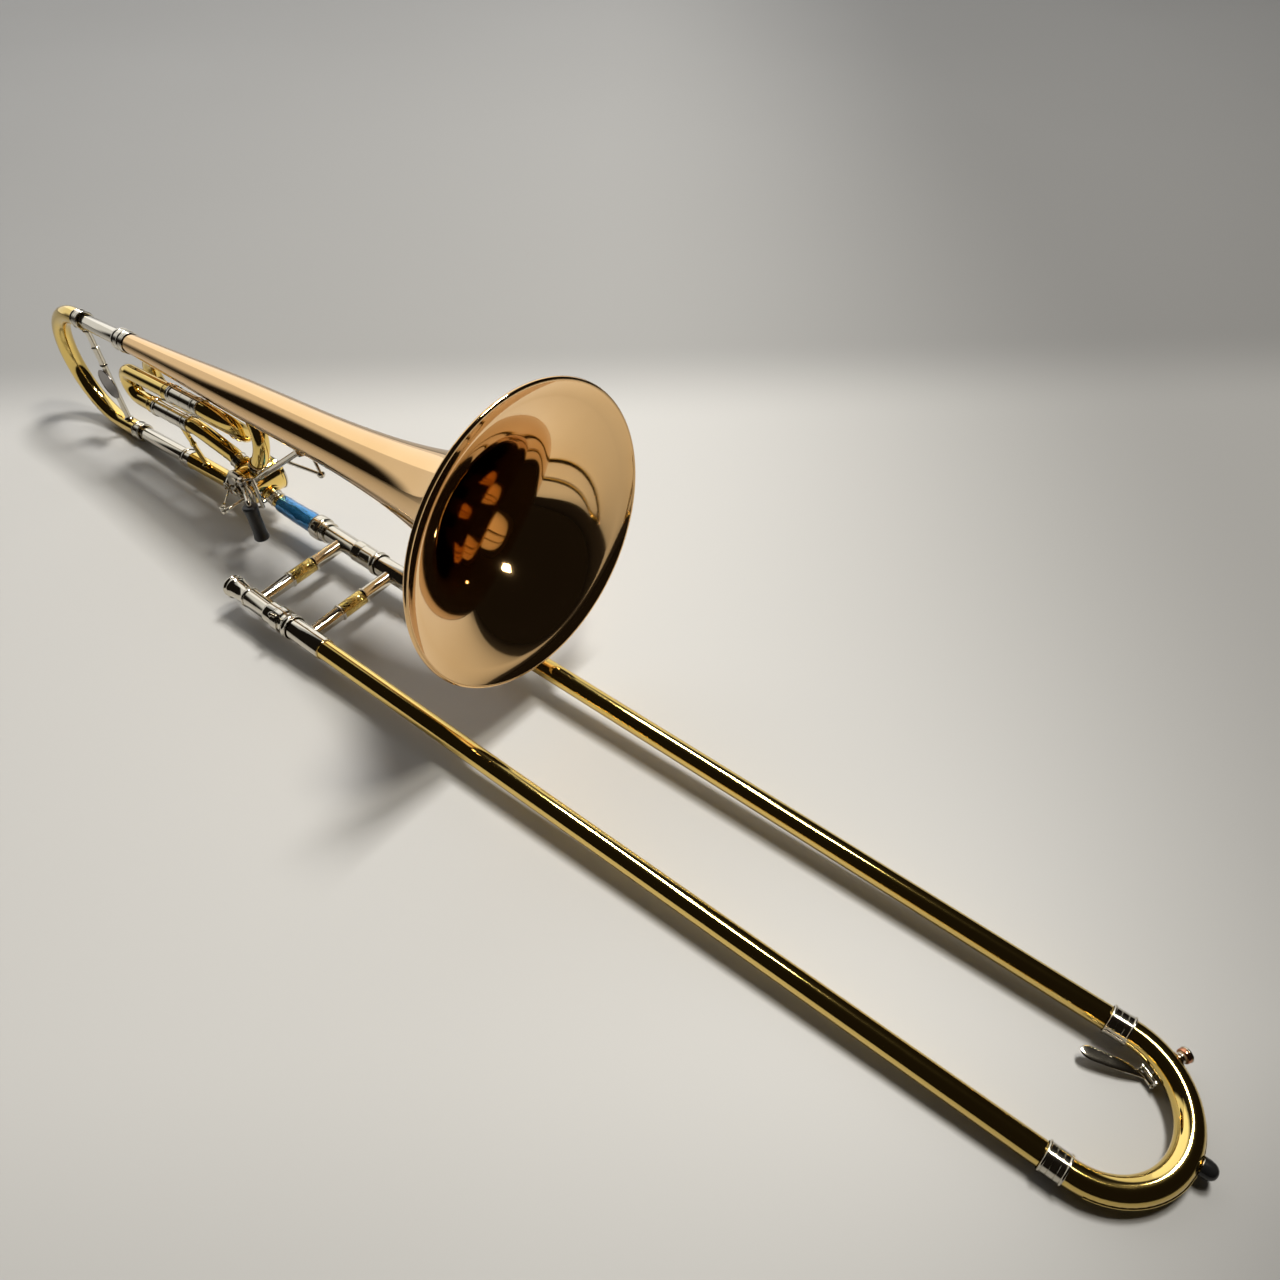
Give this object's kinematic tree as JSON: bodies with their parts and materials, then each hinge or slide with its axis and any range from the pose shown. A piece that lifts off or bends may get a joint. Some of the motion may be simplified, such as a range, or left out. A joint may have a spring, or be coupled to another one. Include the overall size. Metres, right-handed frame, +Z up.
{
  "type": "tenor trombone",
  "caption": "Tenor trombone with an F attachment: hand slide, bell section with rotary valve, thumb lever and tuning slides.",
  "frame": {"origin": "centre of the bounding box at floor level, with the instrument lying at rest on the floor", "axes": "+X along the hand slide towards its crook, +Z up"},
  "size_m": [1.1536, 0.2166, 0.2569],
  "materials": {
    "yellow_brass": "polished and lacquered",
    "gold_brass": "polished and lacquered, redder brass",
    "nickel_silver": "polished nickel silver",
    "blue_film": "glossy film",
    "black_plastic": "satin black",
    "black_rubber": "matte",
    "cork": "cork, matte",
    "spring_steel": "plain steel"
  },
  "bodies": {
    "inner_slide": {"mouthpiece_receiver": "nickel_silver", "leadpipe": "yellow_brass", "inner_tube_a": "nickel_silver", "inner_tube_b": "nickel_silver", "cork_barrel_a": "nickel_silver", "cork_barrel_b": "nickel_silver", "slide_cork_a": "cork", "slide_cork_b": "cork", "inner_brace": "nickel_silver", "slide_tenon": "nickel_silver"},
    "hand_slide": {"outer_tube_a": "yellow_brass", "outer_tube_b": "yellow_brass", "hand_brace": "nickel_silver", "slide_crook": "yellow_brass", "crook_ferrule_a": "nickel_silver", "crook_ferrule_b": "nickel_silver", "bumper_socket": "nickel_silver", "bumper": "black_rubber", "water_key_nipple": "nickel_silver", "water_key_saddle": "nickel_silver"},
    "water_key": {"water_key_lever": "nickel_silver", "water_key_cork": "cork"},
    "bell_lock_nut": {"bell_lock_nut": "nickel_silver"},
    "slide_lock": {"slide_lock_ring": "nickel_silver"},
    "bell_section": {"bell": "gold_brass", "neckpipe": "yellow_brass", "tenon_receiver": "nickel_silver", "film_sleeve": "blue_film", "rotor_casing": "yellow_brass", "valve_cap_near": "nickel_silver", "valve_cap_far": "nickel_silver", "stop_cork_rest": "cork", "stop_cork_played": "cork", "lever_pivot_rod": "nickel_silver", "lever_spring": "spring_steel", "lever_saddle": "nickel_silver", "f_far_loop": "yellow_brass", "f_front_bow": "yellow_brass", "f_middle_tube": "yellow_brass", "f_receiver_upper": "nickel_silver", "f_receiver_lower": "nickel_silver", "valve_outlet_tube": "yellow_brass", "lower_joint_ferrule": "nickel_silver", "lower_receiver": "yellow_brass", "stem_ferrule": "nickel_silver", "bell_brace_near": "nickel_silver", "bell_brace_far": "yellow_brass", "f_lower_brace": "yellow_brass"},
    "rotor": {"valve_rotor": "yellow_brass", "rotor_stop_arm": "nickel_silver"},
    "thumb_lever": {"thumb_lever": "nickel_silver", "thumb_grip": "black_plastic"},
    "lever_link": {"lever_link": "nickel_silver"},
    "tuning_slide": {"tuning_slide_bow": "yellow_brass", "tuning_leg_upper": "nickel_silver", "tuning_leg_lower": "nickel_silver", "tuning_brace": "nickel_silver", "tuning_disc": "nickel_silver"},
    "f_tuning_slide": {"f_slide_bow": "yellow_brass"}
  },
  "joints": [
    {"name": "hand_slide_travel", "type": "slide", "parent": "inner_slide", "child": "hand_slide", "axis": [0.9998, 0, -0.0222], "range_m": [0, 0.54]},
    {"name": "water_key_hinge", "type": "hinge", "parent": "hand_slide", "child": "water_key", "pos_m": [0.5323, -0.01344, 0.00259], "axis": [-0.8741, 0.4846, 0.0333], "range_deg": [0, 12], "stiffness_Nm_per_rad": 0.02, "springref_deg": -34.38},
    {"name": "bell_lock_nut_turn", "type": "hinge", "parent": "inner_slide", "child": "bell_lock_nut", "pos_m": [-0.18719, 0.00053, 0.02748], "axis": [0.9998, 0, -0.0222], "continuous": true},
    {"name": "slide_lock_turn", "type": "hinge", "parent": "inner_slide", "child": "slide_lock", "pos_m": [-0.12536, -0.08944, 0.02354], "axis": [0.9998, 0, -0.0222], "range_deg": [0, 60]},
    {"name": "bell_section_swivel", "type": "hinge", "parent": "inner_slide", "child": "bell_section", "pos_m": [0.50694, 0.00053, 0.01205], "axis": [0.9998, 0, -0.0222], "range_deg": [-15, 15]},
    {"name": "valve_rotor_turn", "type": "hinge", "parent": "bell_section", "child": "rotor", "pos_m": [-0.26977, 0.00047, 0.04233], "axis": [0.0001, 1, 0.0041], "range_deg": [0, 90]},
    {"name": "thumb_lever_hinge", "type": "hinge", "parent": "bell_section", "child": "thumb_lever", "pos_m": [-0.24981, -0.02541, 0.13419], "axis": [-0.0441, -0.0041, 0.999], "range_deg": [0, 24], "stiffness_Nm_per_rad": 0.25, "springref_deg": -22.92},
    {"name": "lever_link_pivot", "type": "hinge", "parent": "thumb_lever", "child": "lever_link", "pos_m": [-0.24621, -0.04907, 0.05257], "axis": [-0.0441, -0.0041, 0.999], "range_deg": [-24, 2]},
    {"name": "tuning_slide_travel", "type": "slide", "parent": "bell_section", "child": "tuning_slide", "axis": [-0.999, 0.0003, -0.0441], "range_m": [-0.012, 0.03]},
    {"name": "f_tuning_slide_travel", "type": "slide", "parent": "bell_section", "child": "f_tuning_slide", "axis": [-0.999, 0.0003, -0.0441], "range_m": [0, 0.02]}
  ],
  "couplings": [
    {"joint": "valve_rotor_turn", "follows": "thumb_lever_hinge", "ratio": 3.75},
    {"joint": "lever_link_pivot", "follows": "thumb_lever_hinge", "ratio": -0.95}
  ]
}
